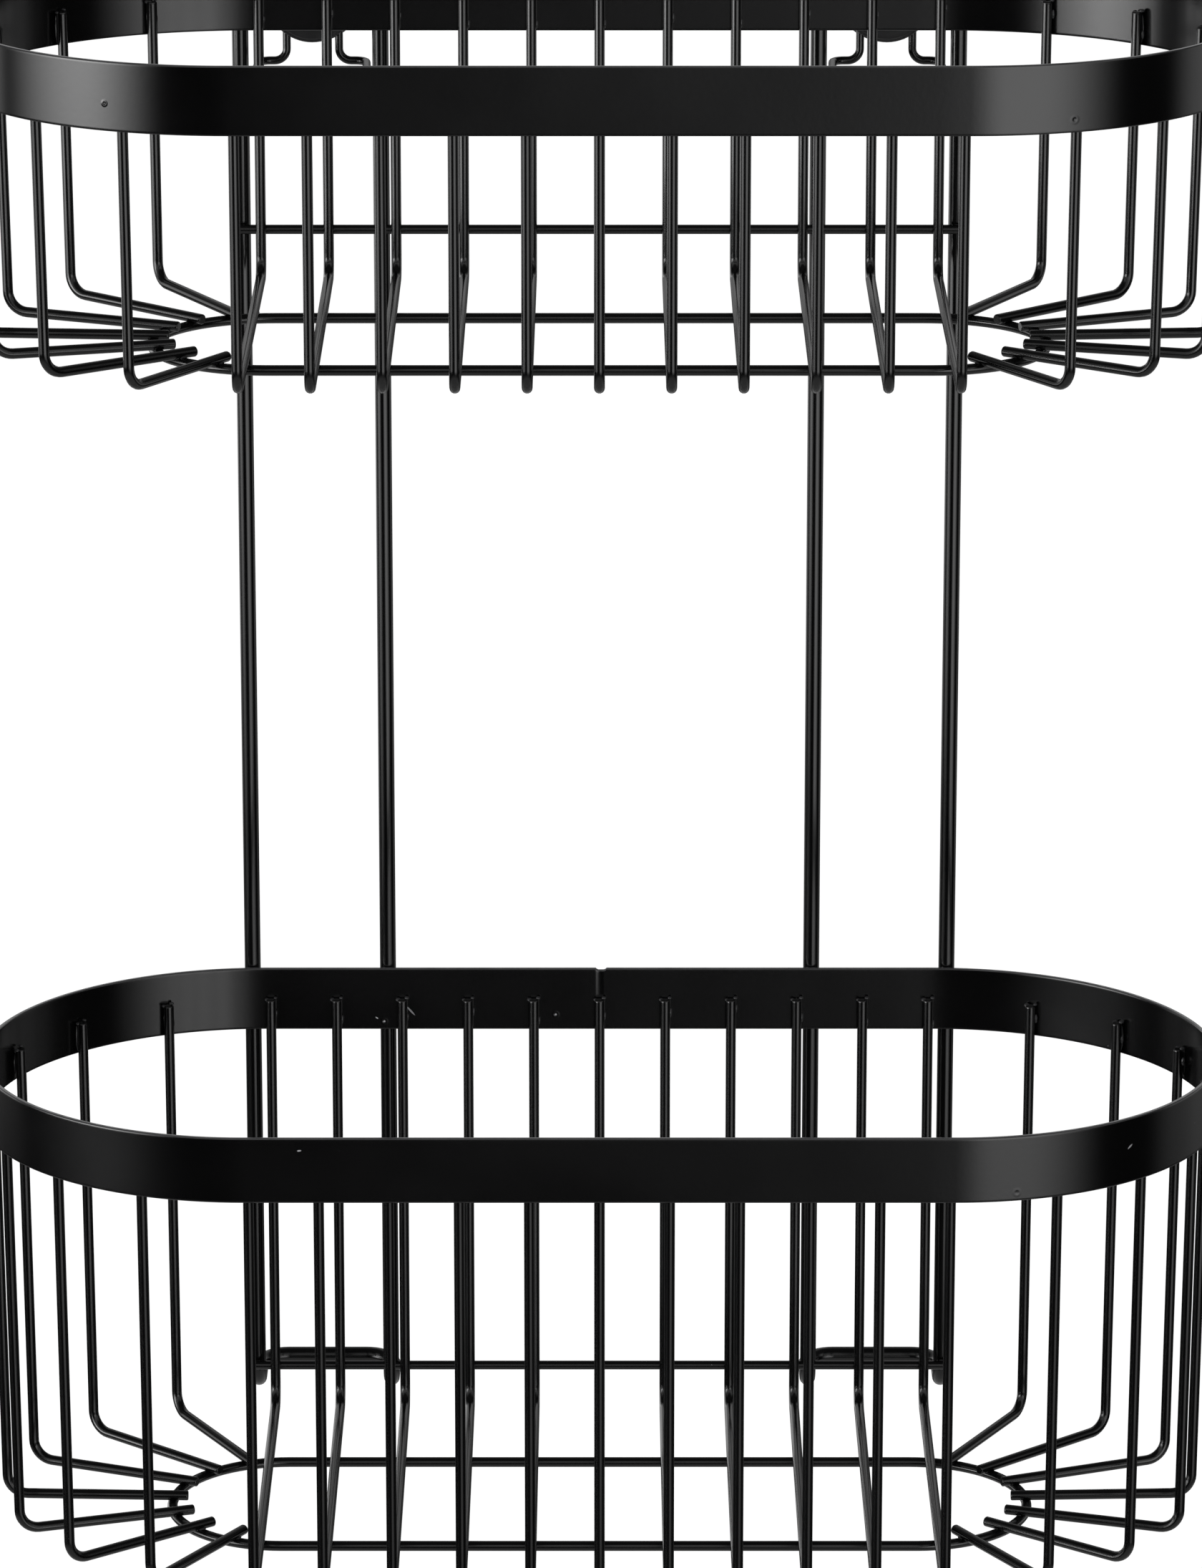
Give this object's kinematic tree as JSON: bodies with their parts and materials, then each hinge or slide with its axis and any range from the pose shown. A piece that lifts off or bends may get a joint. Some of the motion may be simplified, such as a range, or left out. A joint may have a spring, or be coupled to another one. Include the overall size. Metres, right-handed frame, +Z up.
{
  "type": "wall shelf",
  "caption": "Wire wall shelf with an upper and a lower basket under flat-bar rims, on bent upright wires that hang from screwed wall buttons.",
  "frame": {"origin": "on the wall, midway between the axes of the two wall buttons", "axes": "+X to the right as one faces the wall, +Y into the wall, +Z up; the shelf stands out from the wall towards -Y"},
  "size_m": [0.3, 0.1787, 0.3748],
  "materials": {
    "black_powder_coat": "satin black powder coat over steel",
    "black_plastic": "moulded black, fine matt",
    "zinc_steel": "bright zinc plate"
  },
  "bodies": {
    "wall_fittings": {"left_wall_button": "black_plastic", "right_wall_button": "black_plastic", "left_screw": "zinc_steel", "right_screw": "zinc_steel", "left_cover_cap": "black_plastic", "right_cover_cap": "black_plastic"},
    "shelf": {"upper_rim": "black_powder_coat", "upper_floor_frame": "black_powder_coat", "upper_rib_01": "black_powder_coat", "upper_rib_02": "black_powder_coat", "upper_rib_03": "black_powder_coat", "upper_rib_04": "black_powder_coat", "upper_rib_05": "black_powder_coat", "upper_rib_06": "black_powder_coat", "upper_rib_07": "black_powder_coat", "upper_rib_08": "black_powder_coat", "upper_rib_09": "black_powder_coat", "upper_rib_10": "black_powder_coat", "upper_rib_11": "black_powder_coat", "lower_rim": "black_powder_coat", "lower_floor_frame": "black_powder_coat", "lower_rib_01": "black_powder_coat", "lower_rib_02": "black_powder_coat", "lower_rib_03": "black_powder_coat", "lower_rib_04": "black_powder_coat", "lower_rib_05": "black_powder_coat", "lower_rib_06": "black_powder_coat", "lower_rib_07": "black_powder_coat", "lower_rib_08": "black_powder_coat", "lower_rib_09": "black_powder_coat", "lower_rib_10": "black_powder_coat", "lower_rib_11": "black_powder_coat", "upper_cross_wire": "black_powder_coat", "lower_cross_wire": "black_powder_coat", "left_upright_loop": "black_powder_coat", "right_upright_loop": "black_powder_coat", "left_hanger": "black_powder_coat", "right_hanger": "black_powder_coat"}
  },
  "joints": [
    {"name": "lift_off", "type": "slide", "parent": "wall_fittings", "child": "shelf", "axis": [0, 0, 1], "range_m": [0, 0.03]}
  ]
}
